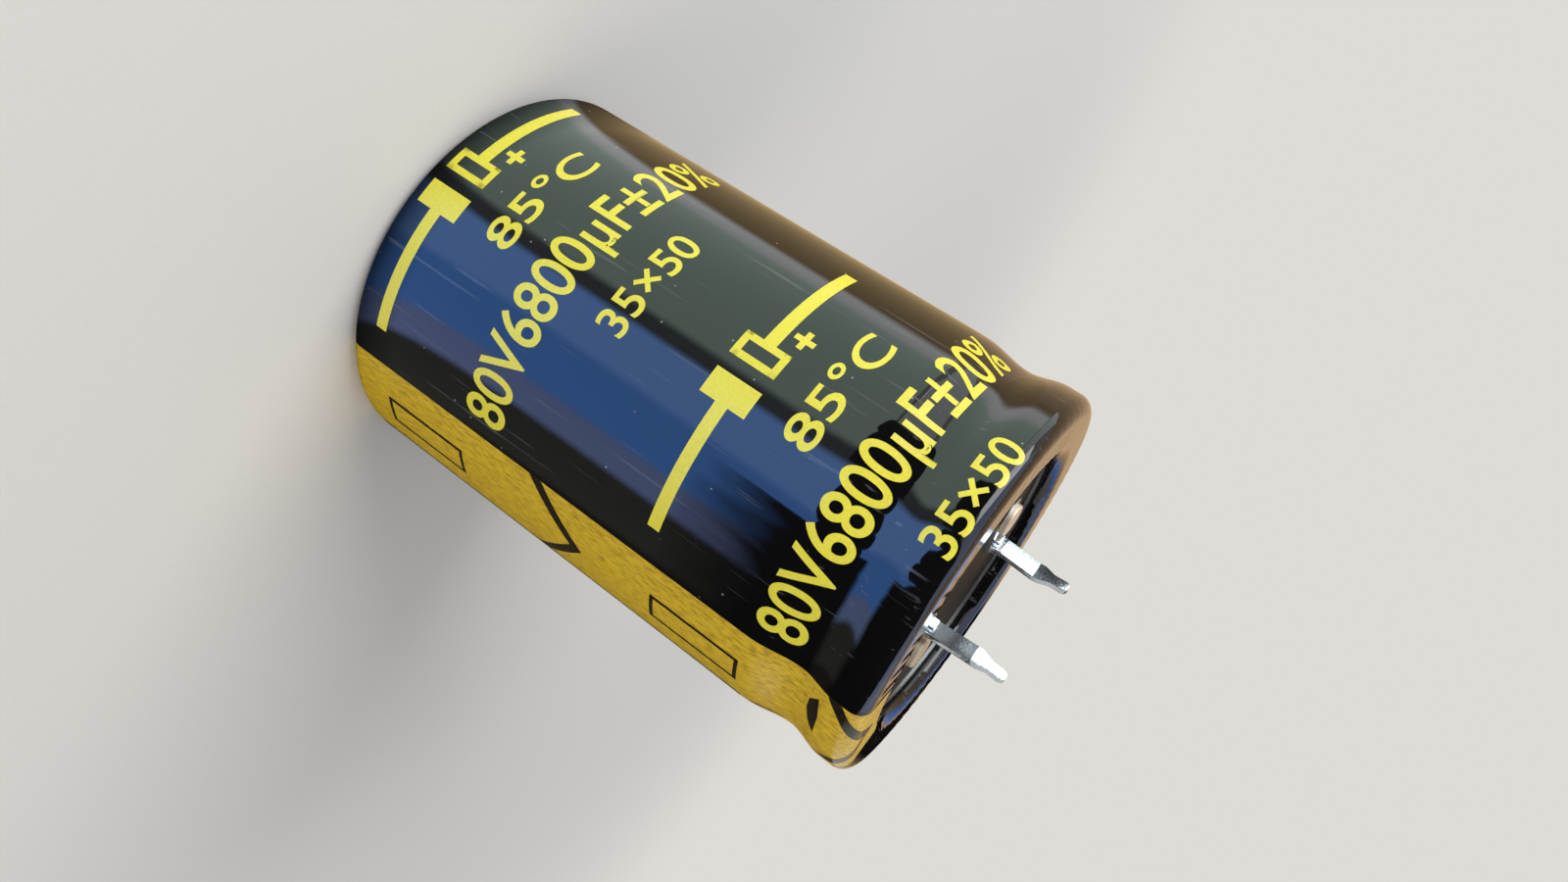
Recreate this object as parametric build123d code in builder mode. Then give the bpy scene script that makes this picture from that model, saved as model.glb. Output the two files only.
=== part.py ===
"""Snap-in aluminium electrolytic capacitor, standing on its closed end with its terminals up.

Millimetres. The origin is the centre of the closed end, +Z runs along the can towards the terminals,
and the two terminals stand on the X axis, the negative one at +X.
"""

import os
from math import atan2, degrees

from build123d import *

os.makedirs("parts", exist_ok=True)

# Driving sizes of the whole part
case_diameter = 35.0
case_length = 52.0
terminal_pitch = 10.0
terminal_reach = 5.8

# Fits shared by the pieces
shrink_gap = 0.04
seat_gap = 0.02
rivet_hole_gap = 0.05
slip_gap = 0.1

# Sleeve: a shrunk tube that dips over the can's bead and wraps over both ends
sleeve_wall = 0.25
sleeve_corner = 1.4
closed_lip_width = 4.3
sleeve_dip = 0.65
rim_corner = 1.3
rim_wrap_width = 4.9
rim_lip_turn = 1.0
rim_lip_drop = 1.25

# Can: one drawn shell with a rolled bead and a curled rim
can_wall = 0.5
bead_depth = 1.3
bead_below = 4.4
bead_above = 3.2
vent_length = 17.0
vent_width = 0.7
vent_depth = 0.3

# Deck: rubber bonded on a hard board, both clamped between the bead and the curl
deck_recess = 1.6
rubber_thickness = 1.1
board_thickness = 1.35
board_chamfer = 0.35

# Terminals: a riveted foot, two low ears and a kinked blade with a narrow round-ended tip
blade_width = 1.5
blade_thickness = 0.6
blade_kink = 0.3
blade_bend = 1.2
kink_height = 4.5
root_height = 1.3
shoulder_height = 5.0
taper_height = 0.9
tip_width = 0.9
foot_thickness = 0.5
foot_eye_radius = 1.9
foot_eye_out = 0.9
foot_eye_back = 2.6
foot_tongue_front = 1.1
ear_width = 0.9
ear_height = 1.0
ear_thickness = 0.35
ear_gap = 0.25

# Rivets and the washers under their inner ends
rivet_shank_radius = 0.9
rivet_head_radius = 1.45
rivet_head_height = 0.5
rivet_head_edge = 0.2
washer_radius = 1.9
washer_thickness = 0.4

# Tabs: strips that leave the winding, fold once and lie under the board
tab_thickness = 0.25
tab_width = 3.6
tab_root = 3.0
tab_rise = 1.4
tab_fold_out = 10.0
tab_fold_drop = 2.4
tab_bend = 0.5
tab_end = 4.2

# Winding: rolled foils and paper around an empty core, closed by a band of tape
winding_play = 0.5
winding_headroom = 0.6
winding_core_radius = 2.2
winding_edge = 0.6
tape_thickness = 0.12
tape_width = 14.0

# Places worked out from the sizes above
case_radius = case_diameter / 2
closed_lip_radius = case_radius - closed_lip_width
rim_lip_radius = case_radius - rim_wrap_width
can_radius = case_radius - sleeve_wall - shrink_gap
can_bottom = sleeve_wall + shrink_gap
can_top = case_length - sleeve_wall - shrink_gap
can_inside_radius = can_radius - can_wall
can_floor = can_bottom + can_wall
curl_radius = rim_lip_radius + sleeve_wall + shrink_gap
curl_inside = curl_radius + can_wall
deck_height = case_length - deck_recess
board_top = deck_height - rubber_thickness
board_bottom = board_top - board_thickness
board_radius = can_inside_radius - bead_depth / 2 - slip_gap
bead_centre = board_bottom - bead_above / 2
blade_place = terminal_pitch / 2
blade_length = deck_recess + terminal_reach
rivet_x = blade_place + foot_eye_out
rivet_y = foot_eye_back
rivet_hole_radius = rivet_shank_radius + rivet_hole_gap
foot_top = deck_height + foot_thickness
tab_bottom = board_bottom - tab_thickness
washer_bottom = tab_bottom - washer_thickness
winding_bottom = can_floor + seat_gap
winding_top = bead_centre - bead_below - winding_headroom
winding_height = winding_top - winding_bottom
winding_radius = can_inside_radius - winding_play


def bead(start, heading, depth):
    """Draw a smooth dip towards the axis: four arcs that start and end running along the can."""
    lower_turn = degrees(2 * atan2(depth, bead_below))
    upper_turn = degrees(2 * atan2(depth, bead_above))
    lower_radius = (bead_below**2 + depth**2) / (4 * depth)
    upper_radius = (bead_above**2 + depth**2) / (4 * depth)
    leave = JernArc(start, heading, lower_radius, lower_turn)
    reach = JernArc(leave @ 1, leave % 1, lower_radius, -lower_turn)
    turn_back = JernArc(reach @ 1, reach % 1, upper_radius, -upper_turn)
    return JernArc(turn_back @ 1, turn_back % 1, upper_radius, upper_turn)


# Sleeve: its outer line from the closed end's lip to the lip inside the rim, thickened inwards
with BuildPart() as sleeve:
    with BuildSketch(Plane.XZ):
        with BuildLine():
            closed_lip = Line((closed_lip_radius, 0), (case_radius - sleeve_corner, 0))
            heel = JernArc(closed_lip @ 1, closed_lip % 1, sleeve_corner, 90)
            side = Line(heel @ 1, (case_radius, bead_centre - bead_below))
            dip = bead(side @ 1, side % 1, sleeve_dip)
            collar = Line(dip @ 1, (case_radius, case_length - rim_corner))
            shoulder = JernArc(collar @ 1, collar % 1, rim_corner, 90)
            wrap = Line(shoulder @ 1, (rim_lip_radius + rim_lip_turn, case_length))
            inward = JernArc(wrap @ 1, wrap % 1, rim_lip_turn, 90)
            Line(inward @ 1, (rim_lip_radius, case_length - rim_lip_drop))
            offset(amount=sleeve_wall, side=Side.LEFT)
        make_face()
    revolve(axis=Axis.Z)
sleeve.part.label = "sleeve"
export_step(sleeve.part, "parts/sleeve.step")

# Can: floor, wall, rolled bead and curled rim in one sheet, with a crossed vent score under the floor
with BuildPart() as can:
    with BuildSketch(Plane.XZ):
        with BuildLine():
            can_corner = sleeve_corner - sleeve_wall - shrink_gap
            floor = Line((0, can_bottom), (can_radius - can_corner, can_bottom))
            heel = JernArc(floor @ 1, floor % 1, can_corner, 90)
            side = Line(heel @ 1, (can_radius, bead_centre - bead_below))
            rolled = bead(side @ 1, side % 1, bead_depth)
            curl_corner = rim_corner - sleeve_wall - shrink_gap
            collar = Line(rolled @ 1, (can_radius, can_top - curl_corner))
            shoulder = JernArc(collar @ 1, collar % 1, curl_corner, 90)
            curl_turn = rim_lip_turn - sleeve_wall - shrink_gap
            rim = Line(shoulder @ 1, (curl_radius + curl_turn, can_top))
            inward = JernArc(rim @ 1, rim % 1, curl_turn, 90)
            Line(inward @ 1, (curl_radius, deck_height + seat_gap))
            offset(amount=can_wall, side=Side.LEFT)
        make_face()
    revolve(axis=Axis.Z)
    with BuildSketch(Plane.XY.offset(can_bottom)):
        SlotOverall(vent_length, vent_width)
        SlotOverall(vent_length, vent_width, rotation=90)
    extrude(amount=vent_depth, mode=Mode.SUBTRACT)
can.part.label = "can"
export_step(can.part, "parts/can.step")

# Sealing rubber: the black deck, with a raised ring that fills the space under the curl
with BuildPart() as sealing_rubber:
    rubber_radius = can_inside_radius - slip_gap
    with BuildSketch(Plane.XY.offset(board_top)):
        Circle(rubber_radius)
    extrude(amount=rubber_thickness)
    with BuildSketch(Plane.XY.offset(deck_height)):
        Circle(rubber_radius)
        Circle(curl_inside + slip_gap, mode=Mode.SUBTRACT)
    extrude(amount=can_top - can_wall - slip_gap - deck_height)
    top_circles = sealing_rubber.edges().filter_by(GeomType.CIRCLE).group_by(Axis.Z)[-1]
    ring_edge = top_circles.sort_by(SortBy.RADIUS)[-1]
    fillet(ring_edge, rim_corner - sleeve_wall - shrink_gap)
    with Locations((rivet_x, rivet_y, deck_height), (-rivet_x, -rivet_y, deck_height)):
        Hole(rivet_hole_radius, rubber_thickness)
sealing_rubber.part.label = "sealing_rubber"
export_step(sealing_rubber.part, "parts/sealing_rubber.step")

# Header board: the hard disc under the rubber, seated on the can's bead
with BuildPart() as header_board:
    with BuildSketch(Plane.XY.offset(board_bottom)):
        Circle(board_radius)
        with Locations((rivet_x, rivet_y), (-rivet_x, -rivet_y)):
            Circle(rivet_hole_radius, mode=Mode.SUBTRACT)
    extrude(amount=board_thickness)
    seat_edge = header_board.faces().sort_by(Axis.Z)[0].edges().sort_by(SortBy.RADIUS)[-1]
    chamfer(seat_edge, board_chamfer)
header_board.part.label = "header_board"
export_step(header_board.part, "parts/header_board.step")

# Negative terminal: kinked strip cut to its front outline, then the foot and the ears beside its root
with BuildPart() as terminal_negative:
    with BuildSketch(Plane.YZ.offset(blade_place)):
        with BuildLine():
            FilletPolyline(
                (-blade_thickness / 2, deck_height),
                (-blade_thickness / 2, deck_height + root_height),
                (-blade_thickness / 2 - blade_kink, deck_height + kink_height),
                (-blade_thickness / 2, deck_height + blade_length),
                radius=blade_bend,
            )
            offset(amount=blade_thickness, side=Side.RIGHT)
        make_face()
    extrude(amount=blade_width / 2, both=True)
    with BuildSketch(Plane.XZ):
        with BuildLine():
            Polyline(
                (blade_place + tip_width / 2, deck_height + blade_length - tip_width / 2),
                (blade_place + tip_width / 2, deck_height + shoulder_height + taper_height),
                (blade_place + blade_width / 2, deck_height + shoulder_height),
                (blade_place + blade_width / 2, deck_height),
                (blade_place - blade_width / 2, deck_height),
                (blade_place - blade_width / 2, deck_height + shoulder_height),
                (blade_place - tip_width / 2, deck_height + shoulder_height + taper_height),
                (blade_place - tip_width / 2, deck_height + blade_length - tip_width / 2),
            )
            ThreePointArc(
                (blade_place - tip_width / 2, deck_height + blade_length - tip_width / 2),
                (blade_place, deck_height + blade_length),
                (blade_place + tip_width / 2, deck_height + blade_length - tip_width / 2),
            )
        make_face()
    extrude(amount=blade_length, both=True, mode=Mode.INTERSECT)
    with BuildSketch(Plane.XY.offset(deck_height)):
        with Locations((blade_place, -foot_tongue_front / 2)):
            Rectangle(blade_width, foot_tongue_front)
        with Locations((rivet_x, rivet_y)):
            Circle(foot_eye_radius)
        make_hull()
    extrude(amount=foot_thickness)
    with BuildSketch(Plane.XY.offset(deck_height)):
        ear_place = blade_thickness / 2 + ear_gap + ear_thickness / 2
        with Locations((blade_place, ear_place), (blade_place, -ear_place)):
            Rectangle(ear_width, ear_thickness)
    extrude(amount=ear_height)
    with Locations((rivet_x, rivet_y, foot_top)):
        Hole(rivet_hole_radius, foot_thickness)
terminal_negative.part.label = "terminal_negative"
export_step(terminal_negative.part, "parts/terminal_negative.step")

# Positive terminal: the same stamping, half a turn round the axis
with BuildPart() as terminal_positive:
    add(terminal_negative.part, rotation=(0, 0, 180))
terminal_positive.part.label = "terminal_positive"
export_step(terminal_positive.part, "parts/terminal_positive.step")

# Negative rivet: a low domed head on the foot, a shank through the deck and a clenched inner end
with BuildPart() as rivet_negative:
    with BuildSketch(Plane.XY.offset(foot_top)):
        with Locations((rivet_x, rivet_y)):
            Circle(rivet_head_radius)
    extrude(amount=rivet_head_height)
    fillet(rivet_negative.faces().sort_by(Axis.Z)[-1].edges(), rivet_head_edge)
    with BuildSketch(Plane.XY.offset(foot_top)):
        with Locations((rivet_x, rivet_y)):
            Circle(rivet_shank_radius)
    extrude(amount=washer_bottom - foot_top)
    with BuildSketch(Plane.XY.offset(washer_bottom)):
        with Locations((rivet_x, rivet_y)):
            Circle(rivet_head_radius)
    extrude(amount=-rivet_head_height)
    fillet(rivet_negative.faces().sort_by(Axis.Z)[0].edges(), rivet_head_edge)
rivet_negative.part.label = "rivet_negative"
export_step(rivet_negative.part, "parts/rivet_negative.step")

# Positive rivet: half a turn round the axis
with BuildPart() as rivet_positive:
    add(rivet_negative.part, rotation=(0, 0, 180))
rivet_positive.part.label = "rivet_positive"
export_step(rivet_positive.part, "parts/rivet_positive.step")

# Negative washer: spreads the clenched rivet's load on the tab
with BuildPart() as washer_negative:
    with BuildSketch(Plane.XY.offset(washer_bottom)):
        with Locations((rivet_x, rivet_y)):
            Circle(washer_radius)
            Circle(rivet_hole_radius, mode=Mode.SUBTRACT)
    extrude(amount=washer_thickness)
washer_negative.part.label = "washer_negative"
export_step(washer_negative.part, "parts/washer_negative.step")

# Positive washer: half a turn round the axis
with BuildPart() as washer_positive:
    add(washer_negative.part, rotation=(0, 0, 180))
washer_positive.part.label = "washer_positive"
export_step(washer_positive.part, "parts/washer_positive.step")

# Cathode tab: a strip that rises from the winding, folds back and lies flat under the board
with BuildPart() as cathode_tab:
    with BuildSketch(Plane.XZ.offset(-rivet_y)):
        with BuildLine():
            FilletPolyline(
                (tab_root, winding_top),
                (tab_root, winding_top + tab_rise),
                (tab_fold_out, board_bottom - tab_fold_drop),
                (tab_fold_out, board_bottom),
                (tab_end, board_bottom),
                radius=tab_bend,
            )
            offset(amount=tab_thickness, side=Side.LEFT)
        make_face()
    extrude(amount=tab_width / 2, both=True)
    with Locations((rivet_x, rivet_y, board_bottom)):
        Hole(rivet_hole_radius, tab_thickness)
cathode_tab.part.label = "cathode_tab"
export_step(cathode_tab.part, "parts/cathode_tab.step")

# Anode tab: half a turn round the axis
with BuildPart() as anode_tab:
    add(cathode_tab.part, rotation=(0, 0, 180))
anode_tab.part.label = "anode_tab"
export_step(anode_tab.part, "parts/anode_tab.step")

# Winding: one solid roll on the can's floor, with the empty core that the winding spindle left
with BuildPart() as winding:
    with BuildSketch(Plane.XY.offset(winding_bottom)):
        Circle(winding_radius)
        Circle(winding_core_radius, mode=Mode.SUBTRACT)
    extrude(amount=winding_height)
    rims = winding.edges().filter_by(GeomType.CIRCLE).sort_by(SortBy.RADIUS)[-2:]
    chamfer(rims, winding_edge)
winding.part.label = "winding"
export_step(winding.part, "parts/winding.step")

# Winding tape: a band round the middle of the roll
with BuildPart() as winding_tape:
    with BuildSketch(Plane.XY.offset(winding_bottom + (winding_height - tape_width) / 2)):
        Circle(winding_radius + seat_gap + tape_thickness)
        Circle(winding_radius + seat_gap, mode=Mode.SUBTRACT)
    extrude(amount=tape_width)
winding_tape.part.label = "winding_tape"
export_step(winding_tape.part, "parts/winding_tape.step")
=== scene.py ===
import bisect
import math
import random

import bmesh
import bpy
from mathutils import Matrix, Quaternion, Vector


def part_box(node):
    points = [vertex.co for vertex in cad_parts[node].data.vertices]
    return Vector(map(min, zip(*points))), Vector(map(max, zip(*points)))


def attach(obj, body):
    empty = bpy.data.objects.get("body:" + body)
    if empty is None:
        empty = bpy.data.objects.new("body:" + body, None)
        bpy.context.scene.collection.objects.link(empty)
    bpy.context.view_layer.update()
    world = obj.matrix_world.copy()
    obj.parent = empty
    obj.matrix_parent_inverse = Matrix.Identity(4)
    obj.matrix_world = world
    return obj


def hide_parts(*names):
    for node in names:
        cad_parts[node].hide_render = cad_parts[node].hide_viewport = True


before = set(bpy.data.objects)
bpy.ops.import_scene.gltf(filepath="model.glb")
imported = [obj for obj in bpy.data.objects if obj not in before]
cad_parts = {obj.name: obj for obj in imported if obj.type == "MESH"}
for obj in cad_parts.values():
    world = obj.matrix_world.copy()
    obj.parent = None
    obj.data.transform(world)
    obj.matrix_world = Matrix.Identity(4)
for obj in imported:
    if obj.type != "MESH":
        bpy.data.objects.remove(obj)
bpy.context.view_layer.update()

# Camera: a phone's wide lens about ten centimetres from the part. The can stands on its closed end, so the
# camera is turned on its side until the can lies across the frame with its terminals at the lower right.
mm = 0.001
camera_place = Vector((48.23, -77.18, 60.64)) * mm
camera_target = Vector((-1.20, -0.77, 31.88)) * mm
camera_roll = math.radians(123.95)
camera_data = bpy.data.cameras.new("phone_camera")
camera_data.sensor_width = 36.0
camera_data.lens = 25.875
camera_data.clip_start = 1 * mm
camera = bpy.data.objects.new("phone_camera", camera_data)
camera.location = camera_place
look = (camera_target - camera_place).to_track_quat("-Z", "Y")
camera.rotation_euler = (look @ Quaternion((0, 0, 1), camera_roll)).to_euler()
bpy.context.scene.collection.objects.link(camera)
bpy.context.scene.camera = camera
bpy.context.scene.view_settings.view_transform = "Standard"


# Light: a large soft box on the side that faces the terminals, a weaker one across from it, a small one that
# only the terminals show and a pale room. The room has one pale tone, to the camera and in reflections alike.
def linear(hex_colour):
    """Turn an sRGB hex colour into the linear values that the shaders take."""
    channels = [int(hex_colour[i:i + 2], 16) / 255 for i in (1, 3, 5)]
    return [c / 12.92 if c <= 0.04045 else ((c + 0.055) / 1.055) ** 2.4 for c in channels] + [1.0]


def add(tree, kind, inputs=None, **settings):
    """Add one shader node: settings are its own options, inputs are values or links for its sockets."""
    made = tree.nodes.new(kind)
    for name, value in settings.items():
        setattr(made, name, value)
    for socket, value in (inputs or {}).items():
        if isinstance(value, bpy.types.NodeSocket):
            tree.links.new(value, made.inputs[socket])
        else:
            made.inputs[socket].default_value = value
    return made


light_rig = {
    "key_soft_box": {"azimuth": -118, "height": 28, "away": 520, "across": 420,
                     "watts": 2.6, "tint": "#ffffff"},
    "fill_soft_box": {"azimuth": 8, "height": 38, "away": 600, "across": 360,
                      "watts": 0.9, "tint": "#fff4e6"},
    "blade_soft_box": {"azimuth": -121, "height": 26.5, "away": 168, "across": 64,
                       "watts": 0.04, "tint": "#f6fbff"},
}
blades = bpy.data.collections.new("blades")
for name, box in light_rig.items():
    lamp = bpy.data.lights.new(name, "AREA")
    lamp.shape = "SQUARE"
    lamp.size = box["across"] * mm
    lamp.energy = box["watts"]
    lamp.color = linear(box["tint"])[:3]
    soft_box = bpy.data.objects.new(name, lamp)
    azimuth = math.radians(box["azimuth"])
    height = math.radians(box["height"])
    out = math.cos(height)
    aim = Vector((math.cos(azimuth) * out, math.sin(azimuth) * out, math.sin(height)))
    soft_box.location = aim * box["away"] * mm
    soft_box.rotation_euler = aim.to_track_quat("Z", "Y").to_euler()
    bpy.context.scene.collection.objects.link(soft_box)
    if name == "blade_soft_box":
        soft_box.light_linking.receiver_collection = blades

room_tone = linear("#e6e4df")
room_level = 0.92
room_light_level = 0.5
world = bpy.data.worlds.new("pale_room")
world.use_nodes = True
tree = world.node_tree
tree.nodes.clear()
path = add(tree, "ShaderNodeLightPath")
seen = add(tree, "ShaderNodeMath", {0: path.outputs["Is Camera Ray"], 1: path.outputs["Is Glossy Ray"]},
           operation="MAXIMUM")
seen = add(tree, "ShaderNodeMath", {0: seen.outputs["Value"], 1: path.outputs["Is Transmission Ray"]},
           operation="MAXIMUM")
room_light = add(tree, "ShaderNodeBackground", {"Color": linear("#dfe6f0"), "Strength": room_light_level})
room_seen = add(tree, "ShaderNodeBackground", {"Color": room_tone, "Strength": room_level})
both = add(tree, "ShaderNodeMixShader", {0: seen.outputs["Value"], 1: room_light.outputs["Background"],
                                         2: room_seen.outputs["Background"]})
add(tree, "ShaderNodeOutputWorld", {"Surface": both.outputs["Shader"]})
bpy.context.scene.world = world


# Floor: a wide sheet of matt pale card under the closed end. Further out it passes into the room's own tone,
# so that no horizon cuts across the picture.
def new_material(name):
    """Start a material and give back it and its empty node tree."""
    material = bpy.data.materials.new(name)
    material.use_nodes = True
    material.node_tree.nodes.clear()
    return material, material.node_tree


floor_half_width = 2000 * mm
floor_room_first = 70 * mm
floor_room_full = 300 * mm
floor_mesh = bpy.data.meshes.new("floor_card")
floor_corners = [(x * floor_half_width, y * floor_half_width, 0)
                 for x, y in ((-1, -1), (1, -1), (1, 1), (-1, 1))]
floor_mesh.from_pydata(floor_corners, [], [(0, 1, 2, 3)])
floor = bpy.data.objects.new("floor_card", floor_mesh)
bpy.context.scene.collection.objects.link(floor)

# Matt card: a soft white with a tooth of about 0.4 mm that only shows as slight mottling.
card, tree = new_material("matt_card")
place = add(tree, "ShaderNodeTexCoord").outputs["Object"]
tooth = add(tree, "ShaderNodeTexNoise", {"Vector": place, "Scale": 1 / (0.4 * mm), "Detail": 2.0})
tone = add(tree, "ShaderNodeMix", {"Factor": tooth.outputs["Fac"], "A": linear("#dfdcd6"),
                                   "B": linear("#e4e1dc")}, data_type="RGBA")
paper = add(tree, "ShaderNodeBsdfPrincipled", {"Base Color": tone.outputs["Result"], "Roughness": 0.9})
room = add(tree, "ShaderNodeEmission", {"Color": room_tone, "Strength": room_level})
reach = add(tree, "ShaderNodeVectorMath", {0: place}, operation="LENGTH")
far = add(tree, "ShaderNodeMapRange", {"Value": reach.outputs["Value"], "From Min": floor_room_first,
                                       "From Max": floor_room_full}, interpolation_type="SMOOTHERSTEP")
path = add(tree, "ShaderNodeLightPath")
seen = add(tree, "ShaderNodeMath", {0: path.outputs["Is Camera Ray"], 1: path.outputs["Is Glossy Ray"]},
           operation="MAXIMUM")
seen = add(tree, "ShaderNodeMath", {0: seen.outputs["Value"], 1: path.outputs["Is Transmission Ray"]},
           operation="MAXIMUM")
blend = add(tree, "ShaderNodeMath", {0: far.outputs["Result"], 1: seen.outputs["Value"]},
            operation="MULTIPLY")
both = add(tree, "ShaderNodeMixShader", {0: blend.outputs["Value"], 1: paper.outputs["BSDF"],
                                         2: room.outputs["Emission"]})
add(tree, "ShaderNodeOutputMaterial", {"Surface": both.outputs["Shader"]})
floor_mesh.materials.append(card)

# Reflectors: coloured cards laid in a ring on the floor, others standing round it and a blue one overhead,
# which show in gloss only. They give the black film its broad bands with crisp edges.
ring_inner = 17 * mm
ring_full = 23 * mm
ring_outer = 1500 * mm
ring_height = 0.4 * mm
ring_sides = 96
ring_glow = 6.0
ring_points = []
for radius in (ring_inner, ring_outer):
    for side in range(ring_sides):
        angle = math.tau * side / ring_sides
        ring_points.append((radius * math.cos(angle), radius * math.sin(angle), ring_height))
ring_faces = []
for side in range(ring_sides):
    after = (side + 1) % ring_sides
    ring_faces.append((side, after, ring_sides + after, ring_sides + side))
ring_mesh = bpy.data.meshes.new("reflector_cards")
ring_mesh.from_pydata(ring_points, [], ring_faces)
ring = bpy.data.objects.new("reflector_cards", ring_mesh)
bpy.context.scene.collection.objects.link(ring)
ring.visible_camera = False
ring.visible_diffuse = False
ring.visible_transmission = False
ring.visible_shadow = False
shows_cards = bpy.data.collections.new("shows_reflector_cards")
ring.light_linking.receiver_collection = shows_cards

# Ring cards: each tone holds between two azimuths in degrees, and neighbours blend over a join. Near the can
# they lean round it, most at right angles to the photograph's view, so that the bands run straight along it.
card_tones = [
    (-180, -162, "#5e4f37"), (-162, -152, "#a0a2a2"), (-152, -84, "#85968c"), (-84, -74, "#3c4042"),
    (-74, -46, "#6f9ae0"), (-46, -16, "#4f82cf"), (-16, 1, "#6f7fae"), (1, 30, "#33332e"),
    (30, 112, "#1c1810"), (112, 180, "#5e4f37"),
]
card_join = 4
lean_turn = math.radians(58)
lean_reach = 12.5 * mm
cards, tree = new_material("reflector_card")
place = add(tree, "ShaderNodeTexCoord").outputs["Object"]
axes = add(tree, "ShaderNodeSeparateXYZ", {"Vector": place})
turn = add(tree, "ShaderNodeMath", {0: axes.outputs["Y"], 1: axes.outputs["X"]}, operation="ARCTAN2")
reach = add(tree, "ShaderNodeVectorMath", {0: place}, operation="LENGTH")
lean = add(tree, "ShaderNodeMath", {0: turn.outputs["Value"], 1: lean_turn}, operation="ADD")
lean = add(tree, "ShaderNodeMath", {0: lean.outputs["Value"]}, operation="SINE")
lean = add(tree, "ShaderNodeMath", {0: lean.outputs["Value"], 1: reach.outputs["Value"]}, operation="DIVIDE")
turn = add(tree, "ShaderNodeMath", {0: lean.outputs["Value"], 1: lean_reach, 2: turn.outputs["Value"]},
           operation="MULTIPLY_ADD")
share = add(tree, "ShaderNodeMapRange", {"Value": turn.outputs["Value"], "From Min": -math.pi,
                                         "From Max": math.pi}, clamp=False)
share = add(tree, "ShaderNodeMath", {0: share.outputs["Result"]}, operation="FRACT")
ramp = add(tree, "ShaderNodeValToRGB", {"Fac": share.outputs["Value"]})
stops = ramp.color_ramp.elements
while len(stops) < 2 * len(card_tones):
    stops.new(1.0)
for k, (first, last, colour) in enumerate(card_tones):
    for stop, azimuth in ((stops[2 * k], first + card_join / 2), (stops[2 * k + 1], last - card_join / 2)):
        stop.position = (azimuth + 180) / 360
        stop.color = linear(colour)
near = add(tree, "ShaderNodeMapRange", {"Value": reach.outputs["Value"], "From Min": ring_inner,
                                        "From Max": ring_full, "To Max": ring_glow})
glow = add(tree, "ShaderNodeEmission", {"Color": ramp.outputs["Color"], "Strength": near.outputs["Result"]})
add(tree, "ShaderNodeOutputMaterial", {"Surface": glow.outputs["Emission"]})
ring_mesh.materials.append(cards)

# Standing cards: black ones with torn and lobed lower edges, a grey and a tan one, and two small ones close
# to the rim. Each has its distance in mm, first and last azimuth in degrees, the low and high of its torn
# edge and that edge's softness in mm, the fade of its ends in degrees, its top in mm, its tone and its glow.
standing_cards = [
    ("near_black_card", 104, -42, 35, 0, 2, 16, 0, 440, "#100f0e", 1.0),
    ("tall_black_card", 200, -75, -40, 2, 36, 6, 0, 760, "#100f0e", 1.0),
    ("low_black_card", 200, -105, -75, 2, 40, 6, 0, 125, "#100f0e", 1.0),
    ("grey_card", 200, -165, -105, 50, 52, 1, 0, 125, "#8d9491", 6.0),
    ("tan_card", 200, 95, 195, 0, 1, 1, 0, 760, "#b89b78", 1.6),
    ("rim_black_card", 26, 60, 134, 52.2, 52.3, 1, 16, 56.4, "#100f0e", 1.0),
    ("rim_blue_card", 26, 90, 142, 57.5, 57.8, 1, 16, 76, "#6a8ccc", 2.4),
]
stand_step = 0.5
torn_step = 11.25
lobe_step = 10
lobe_least, lobe_most = 0.2, 0.75
edge_draws = 40
drift_size = 18 * mm
soft_first, soft_full = 0.45, 1.5
end_slack = 0.01
random.seed(3)
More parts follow.
